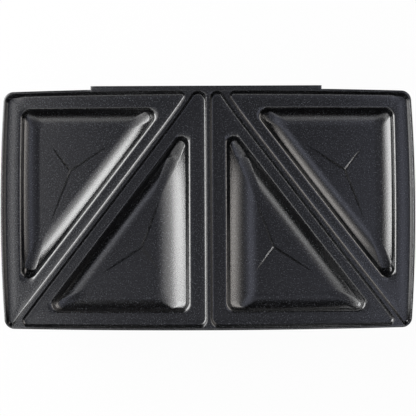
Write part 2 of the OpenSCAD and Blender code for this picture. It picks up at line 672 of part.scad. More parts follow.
module catch_body() {
  box(catch_o - catch_t, catch_o, catch_y0, catch_y1, catch_z0, catch_z1);
  box(lug_o - tooth_in, catch_o - catch_t + 1, tooth_y0, tooth_y1, tooth_z0, tooth_z1);
  box(catch_o - 1, overall_w / 2 - 1.2, tooth_y0, tooth_y1, tooth_z0 - 1.1, tooth_z1);
  for (i = [0:2]) box(overall_w / 2 - 1.3, overall_w / 2 - 0.8, tooth_y0 + 0.7 + i * 2.2,
    tooth_y0 + 1.9 + i * 2.2, tooth_z0 - 1.1, tooth_z1);
}
module catch_right() {
  color([0.42, 0.43, 0.45]) catch_body();
}
module catch_left() {
  color([0.42, 0.43, 0.45]) mirror([1, 0, 0]) catch_body();
}
module hinge_bush(side) {
  color([0.7, 0.7, 0.72]) mirror([side < 0 ? 1 : 0, 0, 0]) difference() {
    union() {
      rod_x(hinge_x1 - hinge_len, hinge_x1, hinge_y, hinge_z, hinge_bore / 2 + 2);
      rod_x(hinge_x1, hinge_x1 + 1, hinge_y, hinge_z, hinge_bore / 2 + 3.5);
    }
    rod_x(hinge_x1 - hinge_len + 1, hinge_x1 + 2, hinge_y, hinge_z, hinge_bore / 2);
  }
}
module hinge_bush_left() {
  hinge_bush(-1);
}
module hinge_bush_right() {
  hinge_bush(1);
}
module frame_screws() {
  color([0.7, 0.7, 0.72]) {
    for (x = [-1, 1]) screw(x * boss_x, boss_y, seat_z + 2.2, 1.5, 11, 3);
    screw(0, rear_boss_y, seat_z + 2.2, 1.5, 11, 3);
  }
}
module tray_screws() {
  color([0.7, 0.7, 0.72]) for (x = [-1, 1]) for (y = [-1, 1])
    screw(x * tray_bx, y * tray_by, tray_z + tray_t, 1.5, 7, 3);
}
module foot(x, y) {
  color([0.08, 0.08, 0.08]) {
    rod(x * foot_x, y * foot_y, 0.6, floor_z, 7);
    rod(x * foot_x, y * foot_y, 0, 0.7, 6.4);
    rod(x * foot_x, y * foot_y, floor_z - 0.5, inner_z + 0.2, 2.5);
    rod(x * foot_x, y * foot_y, inner_z + 0.02, inner_z + 1.6, 3.4);
  }
}
module foot_front_left() {
  foot(-1, -1);
}
module foot_front_right() {
  foot(1, -1);
}
module foot_rear_left() {
  foot(-1, 1);
}
module foot_rear_right() {
  foot(1, 1);
}

cooking_plate();
base_housing();
plate_frame();
reflector_tray();
heater_element();
heater_seals();
heater_pins();
heater_saddles();
thermostat_body();
thermostat_cap();
thermostat_bracket();
bracket_screws();
thermal_fuse();
fuse_clip();
terminal_block();
terminal_screws();
cord_bushing();
cord_clamp();
clamp_screws();
spade_connectors();
lead_neutral();
lead_heater();
lead_fuse();
lead_thermostat();
lead_earth();
earth_tag();
catch_left();
catch_right();
hinge_bush_left();
hinge_bush_right();
frame_screws();
tray_screws();
foot_front_left();
foot_front_right();
foot_rear_left();
foot_rear_right();
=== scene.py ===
"""Looks of the sandwich toaster base: the cast cooking plate, the moulded base and its insides."""
import json
import math

import bmesh
import bpy
import numpy as np
from mathutils import Matrix, Vector
from mathutils.geometry import tessellate_polygon


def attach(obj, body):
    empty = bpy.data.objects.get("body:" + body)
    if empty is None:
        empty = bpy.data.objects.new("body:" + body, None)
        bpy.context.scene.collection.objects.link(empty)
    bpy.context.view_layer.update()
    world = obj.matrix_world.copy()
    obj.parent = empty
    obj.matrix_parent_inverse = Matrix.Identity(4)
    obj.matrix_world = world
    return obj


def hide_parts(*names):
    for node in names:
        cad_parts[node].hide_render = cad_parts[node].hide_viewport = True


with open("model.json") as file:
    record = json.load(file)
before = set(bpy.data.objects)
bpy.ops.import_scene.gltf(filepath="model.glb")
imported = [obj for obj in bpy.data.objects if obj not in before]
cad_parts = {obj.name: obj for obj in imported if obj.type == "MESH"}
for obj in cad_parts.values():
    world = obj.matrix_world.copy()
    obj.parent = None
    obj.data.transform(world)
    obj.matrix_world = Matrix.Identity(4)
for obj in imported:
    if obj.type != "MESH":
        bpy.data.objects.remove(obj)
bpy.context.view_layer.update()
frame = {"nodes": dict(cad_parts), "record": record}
MM = 0.001

# ------------------------------------------------ sizes of the cooking plate, in millimetres
# outline: a rounded rectangle about MID_Y, the least radius of its inner copies' corners, and how
# far its sides bow out
HALF_W, HALF_D, MID_Y, CORNER_R, CORNER_R_LEAST = 113.57, 66.045, -0.935, 5.0, 0.6
SIDE_BOW, FRONT_BOW, REAR_BOW = 2.43, 1.42, 1.86
# ledge along the rear edge: its ends, its rear face, and how far it lies below the rim's top
LEDGE_LEFT, LEDGE_RIGHT, LEDGE_Y, LEDGE_DROP = -65.3, 63.9, 68.4, 3.6
# heights of the rim's top, the crust fields, the underside and the skirt's lower edge
TOP_Z, FIELD_Z, UNDER_Z, SKIRT_Z = 48.0, 45.4, 42.8, 40.5
RIM_H, SKIRT_T, PLATE_T = 2.6, 3.0, 2.6
# lands on top of the rim and the ridges, the flank beside them, and the middle ridge's place
RIM_LAND, RIDGE_LAND, FLANK, RIDGE_X = 1.5, 1.2, 1.3, 0.5
FIELD_IN, RIDGE_IN = RIM_LAND + FLANK, RIDGE_LAND / 2 + FLANK
# centre line of the left half's diagonal ridge
DIAG_P = np.array([-9.0, HALF_D - 1.8])
DIAG_Q = np.array([-(HALF_W - 7.5), -(HALF_D - 4.0)])
# crust from a pocket to the rim, to a diagonal ridge and to the plate's middle; in front the crust
# is narrower by FRONT_LESS
CRUST_W, CRUST_DIAG, CRUST_MID, FRONT_LESS = 7.3, 8.0, 10.3, 0.4
# pockets: depth, radius of the lip and of the corners, then each wall's hollow radius and slope
POCKET_D, LIP_R, POCKET_R = 10.0, 1.8, 4.0
STEEP = math.radians(84)
LEVEL_WALL, SIDE_WALL = (13.0, STEEP), (13.0, STEEP)
INNER_WALL, DIAG_WALL = (26.0, math.radians(58)), (13.0, math.radians(71))
# how steep a hollow is where its wall begins, and where the underside's begins, in radians
HOLLOW_END, HOLLOW_END_BELOW = math.radians(41), 0.66
# rings down the straight walls: heights above the floor, depths on the underside, how near they
# come to a wall's bend, and the least depth between two rings with its decimals
WALL_HEIGHTS, WALL_DEPTHS_BELOW, BEND = np.linspace(6, 9, 4), np.linspace(3.2, 6, 5), 0.02
RING_STEP, RING_DECIMALS = 1e-4, 4
# the tips' radii down a pocket; the square corner's is larger than the top one by SQUARE_MORE, and
# shrinks by a share of how far the slanting side stands in
TIP_DEPTHS = [0.5, 3.2, 4.5, 6.2, 8, 10]
TIP_RADII = [POCKET_R, 2.9, 3.1, 3.8, 3.4, 2.2]
SQUARE_MORE, SQUARE_SHRINK = 0.6, 0.1
# creases on a pocket's floor: height, width, share of the way to the corner, least share of their
# size at the end, and their profile across and up
CREASE_H, CREASE_W, CREASE_REACH, CREASE_END = 0.75, 1.5, 0.42, 0.02
CREASE_ACROSS = np.array([-0.95, -0.72, -0.62, -0.08, 0, 0.08, 0.84, 0.98, 1.3]) * CREASE_W / 2
CREASE_UP = np.array([-0.3, 0.0, 0.08, 0.95, 1.0, 0.95, 0.08, 0.0, -0.3]) * CREASE_H
# a crust field's corners at the foot of its flanks: the square one's radius, its least and the long
# tip's least, then the small tip's at the rear, in front and at least
FIELD_R, FIELD_R_LEAST, TIP_R_LEAST = 3.2, 0.6, 0.8
SMALL_R_REAR, SMALL_R_FRONT, SMALL_R_LEAST = 1.2, 1.6, 0.3
# beside the rim's ends the crust falls towards the rim: slope, width, where the fall sets in and
# over what width, and the first flank inset that it lowers
FALL, FALL_W, FALL_X, FALL_BLEND, FALL_FIRST = 0.07, 3.9, 103, 4, -0.5

# the rounded top edge of the rim, from the land outwards: inset, drop below the top
CROWN = [(0.85, 0.0), (0.65, 0.035), (0.4, 0.1), (0.22, 0.165), (0.09, 0.28), (0.02, 0.42),
         (0.0, 0.58), (0.0, 0.9)]
# the ledge's rounded top edge: inset, rise above the ledge
LEDGE_EDGE = [(0, 0.3), (0.08, 0.08), (0.3, 0)]
# the skirt, down its outside, round its lower edge and up to the underside: inset, height
SKIRT = [(0, SKIRT_Z + 0.4), (0.12, SKIRT_Z + 0.12), (0.4, SKIRT_Z), (SKIRT_T - 0.3, SKIRT_Z),
         (SKIRT_T - 0.08, SKIRT_Z + 0.1), (SKIRT_T, SKIRT_Z + 0.3), (SKIRT_T, UNDER_Z - 0.6),
         (SKIRT_T + 0.18, UNDER_Z - 0.18), (SKIRT_T + 0.6, UNDER_Z)]
# a flank from its round top edge to its foot: height, then the inset at the rim's side, at its
# front, at its rear, at a ridge, and at the right of the middle ridge
FLANK_STEPS = [
    (RIM_H, -1.93, -1.88, -1.88, -1.12, -1.12), (2.52, -1.86, -1.76, -1.76, -1.05, -1.05),
    (2.42, -1.78, -1.62, -1.62, -0.98, -0.96), (2.1, -1.59, -1.33, -1.33, -0.94, -0.81),
    (1.5, -1.27, -0.97, -0.97, -0.86, -0.5), (0.95, -0.97, -0.64, -0.64, -0.55, -0.25),
    (0.7, -0.84, -0.48, -0.45, -0.36, -0.13), (0.5, -0.73, -0.34, -0.22, -0.2, -0.04),
    (0.36, -0.63, -0.23, 0.15, -0.06, 0.03), (0.26, -0.49, -0.1, 0.45, 0.08, 0.08),
    (0.2, -0.3, 0.08, 0.7, 0.22, 0.2)]
# past the foot, where it runs out into the crust: height, inset, inset at the rear
FLANK_FOOT = [(0.15, 0.3, 1.0), (0.1, 0.8, 1.4), (0.05, 1.5, 2.0), (0.02, 2.2, 2.6),
              (0.0, 3.0, 3.2), (0.0, 3.6, 3.8)]
FLANK_STEPS += [(z, i, i, back, i + 0.02, i) for z, i, back in FLANK_FOOT]

# the heater's loop: half its width and depth, the radius of its corners, and where its ends stop
LOOP_X, LOOP_Y, LOOP_R, LOOP_END_X = 75.0, 32.0, 20.0, 36.0
# the rib that holds it: the groove's radius and axis, the rib's lower edge and half width, and how
# far below the cooking side its upper edge ends; then its rounded lower corner as inset and rise
GROOVE_R, GROOVE_Z, RIB_Z, RIB_HALF, RIB_SINK = 3.5, 29.0, 28.7, 5.5, 1.2
RIB_CORNER = np.array([(0.0, 0.4), (0.2, 0.1), (0.4, 0.0)])
# a catch lug: its inner and outer faces, then its C-shaped outline as y, z and the lean of the
# inner face, which stays under the pocket's wall
LUG_IN, LUG_OUT = 102.5, 106.5
LUG_FRONT, LUG_REAR, NOTCH_REAR, NOTCH_LOW, NOTCH_HIGH, LUG_LOW = -7.0, 9.0, 5.0, 32.0, 35.6, 29.8
UPRIGHT, LEANING, LUG_TOP = (36.2, 0), (39.5, 2.6), (UNDER_Z + 0.3, 3.0)
LUG_OUTLINE = np.array([
    (LUG_FRONT, LUG_LOW, 0), (LUG_REAR, LUG_LOW, 0), (LUG_REAR, *UPRIGHT), (LUG_REAR, *LEANING),
    (LUG_REAR, *LUG_TOP), (LUG_FRONT, *LUG_TOP), (LUG_FRONT, *LEANING), (LUG_FRONT, *UPRIGHT),
    (LUG_FRONT, NOTCH_HIGH, 0), (NOTCH_REAR, NOTCH_HIGH, 0), (NOTCH_REAR, NOTCH_LOW, 0),
    (LUG_FRONT, NOTCH_LOW, 0)])

# points on the curves: at the rim's corners, from a corner to the ledge, along the ledge, the
# sides and the front; then at a pocket's corners and sides, above and below the casting; then
# rings down the lip, down the hollow, down the hollow's underside, and stations along a crease
RIM_ARC, TO_LEDGE, ALONG_LEDGE, ALONG_SIDE, ALONG_FRONT = 10, 12, 34, 40, 60
ABOVE, BELOW = (18, 60), (9, 20)
LIP_STEPS, HOLLOW_STEPS, BELOW_STEPS, CREASE_STEPS = 12, 40, 12, 40
# stations along the heater's loop: its two ends, its corners, the long front run and the side runs;
# then the points across the rib
LOOP_ENDS, LOOP_ARC, LOOP_FRONT, LOOP_SIDES, RIB_STEPS = 11, 20, 62, 16, 15
# what meets at less than this many degrees is smoothed, and points nearer than this are welded
CAST_SMOOTH, CAST_WELD = 35.0, 2e-3 * MM
SHELL_SMOOTH, SHELL_WELD = 28.0, 1e-6


def unit(v):
    """The vector divided by its length."""
    return v / np.linalg.norm(v)


DIAG_U = unit(DIAG_P - DIAG_Q)
DIAG_N = np.array([-DIAG_U[1], DIAG_U[0]])


# ------------------------------------------------ outlines
def bow(p):
    """Bows a rounded rectangle: x moves out with the eighth power of its share of the half width,
    most at mid depth, and y with the eighth power of its share of the half depth, most at mid
    width."""
    u, v = np.abs(p[:, 0]) / HALF_W, np.abs(p[:, 1]) / HALF_D
    x = p[:, 0] + np.sign(p[:, 0]) * SIDE_BOW * (1 - np.minimum(1, v * v)) * u**8
    y = p[:, 1] + np.where(p[:, 1] > 0, REAR_BOW, -FRONT_BOW) * (1 - np.minimum(1, u * u)) * v**8
    return np.stack([x, y + MID_Y], 1)


def spread(count, pull=0.1):
    """Shares between 0 and 1, both left out, closer together near the ends: t minus pull times the
    sine of t turns."""
    t = np.arange(1, count + 1) / (count + 1)
    return t - pull * np.sin(2 * np.pi * t)


def at_z(ring, z):
    """A flat ring's points, each with the height z added."""
    return np.column_stack([ring, np.full(len(ring), z)])


def rounded_triangle(corners, radii, arc_points, side_points):
    """Triangle with rounded corners, counter-clockwise: at each corner an arc tangent to both
    sides, its centre one radius over the sine of half the angle along the bisector, then the side
    to the next arc."""
    arcs = []
    for i, radius in enumerate(radii):
        back, ahead = unit(corners[i - 1] - corners[i]), unit(corners[(i + 1) % 3] - corners[i])
        half = math.acos(back @ ahead) / 2
        centre = corners[i] + unit(back + ahead) * radius / math.sin(half)
        start = corners[i] + back * radius / math.tan(half) - centre
        turn = math.atan2(start[1], start[0]) + np.linspace(0, math.pi - 2 * half, arc_points)
        arcs.append(centre + radius * np.stack([np.cos(turn), np.sin(turn)], 1))
    t = spread(side_points)[:, None]
    sides = [arcs[i][-1] + (arcs[(i + 1) % 3][0] - arcs[i][-1]) * t for i in range(3)]
    return np.concatenate([a for pair in zip(arcs, sides) for a in pair])


def half_triangle(rear, x, y, off):
    """Sharp corners of a triangle of the left half: the upright side at x, the level side at y, and
    the slanting side parallel to the diagonal ridge, off millimetres from its centre line."""
    n = DIAG_N if rear else -DIAG_N
    return np.array([[x, y], [x, DIAG_P[1] + (off - n[0] * (x - DIAG_P[0])) / n[1]],
                     [DIAG_P[0] + (off - n[1] * (y - DIAG_P[1])) / n[0], y]])


def tip_radius(corners, y):
    """Radius that ends the long tip of a triangle at distance y from the middle: the tip's distance
    past y, over the cotangent of half its angle less one."""
    half = math.acos(unit(corners[0] - corners[1]) @ unit(corners[2] - corners[1])) / 2
    return (abs(corners[1][1]) - y) / (1 / math.tan(half) - 1)


def place_half(ring, side):
    """Bows a ring of the left half, or its mirror image for the right half."""
    return bow(ring) if side < 0 else bow((ring * [-1, 1])[::-1])


def field_ring(rear, side, upright, front, back, ridge, middle):
    """Outline of a crust field, moved in from the foot of the flanks: by upright at the rim's side,
    by front or back at its front or rear, by ridge at the ridges, and by middle at the right of the
    middle ridge. Each corner's radius shrinks by what its sides moved in."""
    level = back if rear else front
    y = HALF_D - FIELD_IN - level
    if rear:
        corners = half_triangle(True, -(HALF_W - FIELD_IN) + upright, y, RIDGE_IN + ridge)
    else:
        inner = ridge if side < 0 else middle
        corners = half_triangle(False, -side * RIDGE_X - RIDGE_IN - inner, -y, RIDGE_IN + ridge)
    radii = [max(FIELD_R_LEAST, FIELD_R - min(upright, level)),
             max(TIP_R_LEAST, tip_radius(corners, y)),
             max(SMALL_R_LEAST, (SMALL_R_REAR if rear else SMALL_R_FRONT) - level)]
    return place_half(rounded_triangle(corners, radii, *ABOVE), side)


def wall_inset(z, wall, skin=0.0):
    """How far in a pocket wall stands at depth z. wall is its hollow's radius and its slope. From
    the top: a rounded lip, a straight steep wall, then a circular hollow that starts at HOLLOW_END
    and meets the floor level. skin is the thickness of the casting, for the underside."""
    r, slope = wall
    foot = r * math.sin(HOLLOW_END) + (POCKET_D - r * (1 - math.cos(HOLLOW_END))) / math.tan(slope)
    h, q = max(0.0, POCKET_D + skin - z), r + skin
    if skin == 0 and z < LIP_R * (1 - math.cos(slope)):
        return LIP_R * (math.sin(math.acos(1 - z / LIP_R)) - math.tan(slope / 2))
    if h > q * (1 - math.cos(HOLLOW_END)):
        return z / math.tan(slope) - skin / math.sin(slope)
    return foot - q * math.sin(math.acos(max(-1.0, 1 - h / q)))


def pocket_corners(rear, upright=0.0, level=0.0, slant=0.0):
    """Sharp corners of a pocket of the left half, with its three sides moved in by so much each."""
    if rear:
        return half_triangle(True, -(HALF_W - FIELD_IN - CRUST_W) + upright,
                             HALF_D - FIELD_IN - CRUST_W - level, CRUST_DIAG + slant)
    return half_triangle(False, -CRUST_MID - upright,
                         -(HALF_D - FIELD_IN - CRUST_W + FRONT_LESS) + level, CRUST_DIAG + slant)


def pocket_ring(rear, side, z, skin=0.0, points=ABOVE):
    """Outline of a pocket at depth z: its sides moved in by each wall's inset there. The tips'
    radii shrink down the steep wall, grow below it, so that a tip ends in a scoop, and shrink again
    over the hollow."""
    upright = wall_inset(z, SIDE_WALL if rear else INNER_WALL, skin)
    level, slant = wall_inset(z, LEVEL_WALL, skin), wall_inset(z, DIAG_WALL, skin)
    tip = np.interp(z - skin, TIP_DEPTHS, TIP_RADII)
    square = POCKET_R + SQUARE_MORE - SQUARE_SHRINK * slant
    corners = pocket_corners(rear, upright, level, slant)
    return place_half(rounded_triangle(corners, [square, tip, tip], *points), side)


def rim_ring(inset, z, ledge=None):
    """The plate's outline at height z, moved in by inset: four quarter circles and the runs between
    them, bowed. Where ledge is a number, the part between the ledge's ends is moved out to the
    ledge's face, less ledge."""
    r = max(CORNER_R_LEAST, CORNER_R - inset)
    a, b = HALF_W - inset - r, HALF_D - inset - r
    turn = np.linspace(0, math.pi / 2, RIM_ARC)
    turns = [turn + q * math.pi / 2 for q in range(4)]
    arcs = [centre + r * np.stack([np.cos(t), np.sin(t)], 1)
            for centre, t in zip(np.array([(a, b), (-a, b), (-a, -b), (a, -b)]), turns)]
    t = spread(TO_LEDGE, 0)
    rear_x = np.concatenate([a + (LEDGE_RIGHT - a) * t, [LEDGE_RIGHT],
                             np.linspace(LEDGE_RIGHT, LEDGE_LEFT, ALONG_LEDGE), [LEDGE_LEFT],
                             LEDGE_LEFT + (-a - LEDGE_LEFT) * t])
    rear = np.stack([rear_x, np.full(len(rear_x), b + r)], 1)
    left = np.stack([np.full(ALONG_SIDE, -a - r), b - 2 * b * spread(ALONG_SIDE, 0)], 1)
    front = np.stack([-a + 2 * a * spread(ALONG_FRONT, 0), np.full(ALONG_FRONT, -b - r)], 1)
    ring = bow(np.concatenate([arcs[0], rear, arcs[1], left, arcs[2], front, arcs[3], -left]))
    if ledge is not None:
        first, last = RIM_ARC + TO_LEDGE, RIM_ARC + TO_LEDGE + ALONG_LEDGE + 1
        ring[first:last + 1, 0] = np.clip(ring[first:last + 1, 0], LEDGE_LEFT + ledge,
                                          LEDGE_RIGHT - ledge)
        ring[first + 1:last, 1] = LEDGE_Y - ledge
    return at_z(ring, z)


# ------------------------------------------------ surfaces
def carry(path, out, across, height):
    """Rings of a profile carried along a path: each station's point plus across times its out
    direction, at the given heights. across and height hold one row for all stations, or one for
    each."""
    flat = path[:, None] + across[..., None] * out[:, None]
    return np.concatenate([flat, np.broadcast_to(height, flat.shape[:2])[..., None]], -1)


class Skin:
    """Collects rings and plain faces, then makes one mesh of them."""

    def __init__(self):
        self.points, self.faces, self.count = [], [], 0

    def add(self, points, faces):
        """Takes points, and faces that number them from 0."""
        self.points.append(points)
        self.faces += (np.asarray(faces) + self.count).tolist()
        self.count += len(points)

    def strip(self, rings):
        """Quads between neighbouring closed rings of equal length."""
        n, m = len(rings[0]), len(rings)
        a = np.arange(m - 1)[:, None] * n + np.arange(n)
        b = np.arange(m - 1)[:, None] * n + (np.arange(n) + 1) % n
        self.add(np.concatenate(rings), np.stack([a, b, b + n, a + n], -1).reshape(-1, 4))

    def sheet(self, outer, holes=()):
        """A flat face bounded by the outer ring, open inside each hole."""
        loops = [outer, *holes]
        self.add(np.concatenate(loops), tessellate_polygon([loop.tolist() for loop in loops]))

    def rod(self, rings):
        """A strip whose first and last rings are closed with a face."""
        self.strip(rings)
        for ring in (rings[0], rings[-1]):
            self.sheet(ring)

    def piece(self, name):
        """One object of all that was collected, its seams welded and its faces turned outwards."""
        mesh = bpy.data.meshes.new(name)
        mesh.from_pydata((np.concatenate(self.points) * MM).tolist(), [], self.faces)
        return smooth_piece(name, mesh, CAST_SMOOTH, CAST_WELD, turn=True)


def smooth_piece(name, mesh, angle, weld, turn):
    """Welds points nearer than weld, turns the faces outwards where turn is true, smooths what
    meets at less than angle degrees, and puts the mesh into an object at the origin."""
    bm = bmesh.new()
    bm.from_mesh(mesh)
    bmesh.ops.remove_doubles(bm, verts=bm.verts, dist=weld)
    bmesh.ops.dissolve_degenerate(bm, edges=bm.edges, dist=weld)
    if turn:
        bmesh.ops.recalc_face_normals(bm, faces=bm.faces)
    bm.to_mesh(mesh)
    bm.free()
    mesh.shade_smooth()
    mesh.set_sharp_from_angle(angle=math.radians(angle))
    piece = bpy.data.objects.new(name, mesh)
    bpy.context.scene.collection.objects.link(piece)
    return piece


def edge_rings():
    """The casting's outer edge: over the rim's round top edge, down past the ledge, and round under
    the skirt to the underside."""
    ledge_z = TOP_Z - LEDGE_DROP
    return [*(rim_ring(inset, TOP_Z - drop, inset) for inset, drop in CROWN),
            *(rim_ring(0, ledge_z + rise, inset) for inset, rise in LEDGE_EDGE),
            rim_ring(0, ledge_z),
            *(rim_ring(inset, z) for inset, z in SKIRT)]


def flank_rings(rear, side):
    """The flanks round one crust field, down to the crust. Beside the rim's end the crust falls by
    FALL times its distance from where the fall starts, FALL_W in from the foot, and this sets in
    over FALL_BLEND past FALL_X."""
    rings = [at_z(field_ring(rear, side, *insets), FIELD_Z + z) for z, *insets in FLANK_STEPS]
    for ring, step in zip(rings, FLANK_STEPS):
        if step[1] > FALL_FIRST:
            share = np.clip((np.abs(ring[:, 0]) - FALL_X) / FALL_BLEND, 0, 1)
            ring[:, 2] -= share * FALL * (FALL_W - max(0, step[1]))
    return rings


def pocket_depths():
    """Depths of a pocket's rings: even steps round the lip and round the widest hollow, four down
    the straight wall, and one on each side of where a wall passes into its hollow."""
    lip = LIP_R * (1 - np.cos(np.linspace(0, STEEP, LIP_STEPS)))
    hollow = INNER_WALL[0] * (1 - np.cos(np.linspace(0, HOLLOW_END, HOLLOW_STEPS)))
    bends = np.array([wall[0] * (1 - math.cos(HOLLOW_END)) for wall in
                      (LEVEL_WALL, SIDE_WALL, INNER_WALL, DIAG_WALL)])
    heights = np.concatenate([hollow, bends + BEND, bends - BEND, WALL_HEIGHTS])
    depths = np.unique(np.round(np.concatenate([lip, POCKET_D - heights]), RING_DECIMALS))
    return depths[np.concatenate([[True], np.diff(depths) > RING_STEP])]


def pocket_below(rear, side):
    """The underside of a pocket: its outlines one casting thickness out, from the underside down to
    the flat below the floor."""
    turn = np.linspace(HOLLOW_END_BELOW, 0, BELOW_STEPS)
    hollow = (INNER_WALL[0] + PLATE_T) * (1 - np.cos(turn))
    depths = [PLATE_T, *WALL_DEPTHS_BELOW, *(POCKET_D + PLATE_T - hollow)]
    return [at_z(pocket_ring(rear, side, z, PLATE_T, BELOW), FIELD_Z - z) for z in depths]


def crease(skin, middle, corner):
    """A raised hip on a pocket floor, from the middle towards one corner: a small gable with a
    rounded top, gentler towards the left, whose size is 1 minus the cube of its share of the
    way."""
    u = unit(corner - middle)
    n = np.array([-u[1], u[0]]) * (1 if u[1] > 0 else -1)
    reach = np.linalg.norm(corner - middle) * CREASE_REACH
    along = np.concatenate([[-0.15 * CREASE_W], reach * np.linspace(0, 1, CREASE_STEPS)])
    size = np.clip(1 - (along / reach)**3, CREASE_END, 1)[:, None]
    skin.rod(carry(middle + u * along[:, None], np.tile(n, (len(along), 1)), CREASE_ACROSS * size,
                   FIELD_Z - POCKET_D + CREASE_UP * size))


def casting():
    """The cooking plate: rim, rear ledge, ridges, crust fields and pockets with their creases, and
    the underside with its skirt and the pockets' undersides."""
    skin = Skin()
    edge, depths = edge_rings(), pocket_depths()
    skin.strip(edge)
    tops, unders = [], []
    for side in (-1, 1):
        for rear in (True, False):
            rings = flank_rings(rear, side)
            rings += [at_z(pocket_ring(rear, side, z), FIELD_Z - z) for z in depths]
            skin.strip(rings)
            skin.sheet(rings[-1])
            tops.append(rings[0])
            corners = bow(pocket_corners(rear) * [1 if side < 0 else -1, 1])
            for corner in corners:
                crease(skin, corners.mean(0), corner)
            below = pocket_below(rear, side)
            skin.strip(below)
            skin.sheet(below[-1])
            unders.append(below[0])
    skin.sheet(edge[0], tops)
    skin.sheet(edge[-1], unders)
    return skin


def depth_at(p):
    """Depth of the cooking side below the crust level at each point: for each pocket the least of
    the depths that its three walls reach at the point's distance from them, and 0 outside the
    pockets."""
    z = np.concatenate([[0], np.linspace(0.5, POCKET_D, 60)])
    deepest = np.zeros(len(p))
    for side in (-1, 1):
        q = (p - [0, MID_Y]) * [1 if side < 0 else -1, 1]
        for rear in (True, False):
            corners = pocket_corners(rear)
            depth = np.full(len(p), POCKET_D)
            for i, wall in enumerate([SIDE_WALL if rear else INNER_WALL, DIAG_WALL, LEVEL_WALL]):
                u = unit(corners[(i + 1) % 3] - corners[i])
                n = np.array([-u[1], u[0]])
                n = n * np.sign((corners.mean(0) - corners[i]) @ n)
                inset = np.array([wall_inset(k, wall) for k in z])
                depth = np.minimum(depth, np.interp((q - corners[i]) @ n, inset, z))
            deepest = np.maximum(deepest, depth)
    return deepest


def heater_loop():
    """The heater's path seen from above, clockwise from its right end: four quarter circles and the
    runs between them, with the direction that points out of the loop at each station."""
    a, b = LOOP_X - LOOP_R, LOOP_Y - LOOP_R
    first = np.linspace(LOOP_END_X, a, LOOP_ENDS + 1)[:-1]
    path = [np.column_stack([first, np.full(LOOP_ENDS, LOOP_Y)])]
    out = [np.tile([0.0, 1.0], (LOOP_ENDS, 1))]
    centres = [(a, b), (a, -b), (-a, -b), (-a, b)]
    goals = [(LOOP_X, -b), (-a, -LOOP_Y), (-LOOP_X, b), (-LOOP_END_X, LOOP_Y)]
    for q, (centre, goal) in enumerate(zip(centres, goals)):
        t = math.pi / 2 - q * math.pi / 2 - np.linspace(0, math.pi / 2, LOOP_ARC)
        n = np.stack([np.cos(t), np.sin(t)], 1)
        path.append(np.array(centre) + LOOP_R * n)
        share = np.linspace(0, 1, LOOP_FRONT if q == 1 else LOOP_SIDES)[1:, None]
        if q < 3:
            # the next arc starts where this run ends
            share = share[:-1]
        path.append(path[-1][-1] + (np.array(goal) - path[-1][-1]) * share)
        out += [n, np.tile(n[-1], (len(share), 1))]
    return np.concatenate(path), np.concatenate(out)


def heater_rib(skin):
    """Rib that holds the heater against the casting: a rectangle with rounded lower corners and a
    round groove in its lower edge, carried along the heater's loop. Its upper edge follows the
    cooking side, RIB_SINK below it, inside the casting."""
    path, out = heater_loop()
    start = math.asin((RIB_Z - GROOVE_Z) / GROOVE_R)
    t = np.linspace(start, math.pi - start, RIB_STEPS)
    corner, rise = RIB_HALF - RIB_CORNER[:, 0], RIB_CORNER[:, 1]
    low = np.concatenate([corner, GROOVE_R * np.cos(t), -corner[::-1]])
    low_z = np.concatenate([RIB_Z + rise, GROOVE_Z + GROOVE_R * np.sin(t), RIB_Z + rise[::-1]])
    roof = path[:, None] + np.linspace(-RIB_HALF, RIB_HALF, RIB_STEPS)[:, None] * out[:, None]
    roof_z = FIELD_Z - depth_at(roof.reshape(-1, 2)).reshape(roof.shape[:2]) - RIB_SINK
    roof = np.concatenate([roof, roof_z[..., None]], -1)
    skin.rod(np.concatenate([carry(path, out, low, low_z), roof], 1))


def catch_lugs(skin):
    """The two hooks that the catches slide into: LUG_OUTLINE carried sideways from the inner face,
    which leans outwards above the notch, to the upright outer face."""
    y, z, lean = LUG_OUTLINE.T
    for side in (-1, 1):
        skin.rod([np.column_stack([side * x, y, z]) for x in (LUG_IN + lean, LUG_OUT + 0 * lean)])


# ------------------------------------------------ finishes
def blank_finish(name, colour, roughness, metallic=0.0, ior=1.5):
    """A material with its Principled shader, its node tree and its pattern position."""
    m = bpy.data.materials.new(name)
    m.use_nodes = True
    shader = m.node_tree.nodes["Principled BSDF"]
    shader.inputs["Base Color"].default_value = (*colour, 1)
    shader.inputs["Roughness"].default_value = roughness
    shader.inputs["Metallic"].default_value = metallic
    shader.inputs["IOR"].default_value = ior
    place = m.node_tree.nodes.new("ShaderNodeTexCoord")
    return m, m.node_tree, shader, place.outputs["Object"]


def noise(tree, place, scale, detail=2.0, roughness=0.5):
    """Cloudy noise between 0 and 1, with scale clouds to the metre."""
    n = tree.nodes.new("ShaderNodeTexNoise")
    n.inputs["Scale"].default_value = scale
    n.inputs["Detail"].default_value = detail
    n.inputs["Roughness"].default_value = roughness
    tree.links.new(place, n.inputs["Vector"])
    return n.outputs["Fac"]


def ramp(tree, value, stops):
    """A colour, or a grey level, read off a scale: straight lines between the stops."""
    n = tree.nodes.new("ShaderNodeValToRGB")
    while len(n.color_ramp.elements) < len(stops):
        n.color_ramp.elements.new(0.5)
    for e, (at, colour) in zip(n.color_ramp.elements, stops):
        e.position = at
        e.color = (*colour, 1) if isinstance(colour, tuple) else (colour, colour, colour, 1)
    tree.links.new(value, n.inputs["Fac"])
    return n.outputs["Color"]


def bump(tree, shader, height, strength, distance):
    """Tilts the surface as a relief of this height, distance metres high, would."""
    n = tree.nodes.new("ShaderNodeBump")
    n.inputs["Strength"].default_value = strength
    n.inputs["Distance"].default_value = distance
    tree.links.new(height, n.inputs["Height"])
    tree.links.new(n.outputs["Normal"], shader.inputs["Normal"])


def mapped(tree, place, **inputs):
    """The pattern position after a Mapping node with these inputs."""
    n = tree.nodes.new("ShaderNodeMapping")
    for key, value in inputs.items():
        n.inputs[key].default_value = value
    tree.links.new(place, n.inputs["Vector"])
    return n.outputs["Vector"]


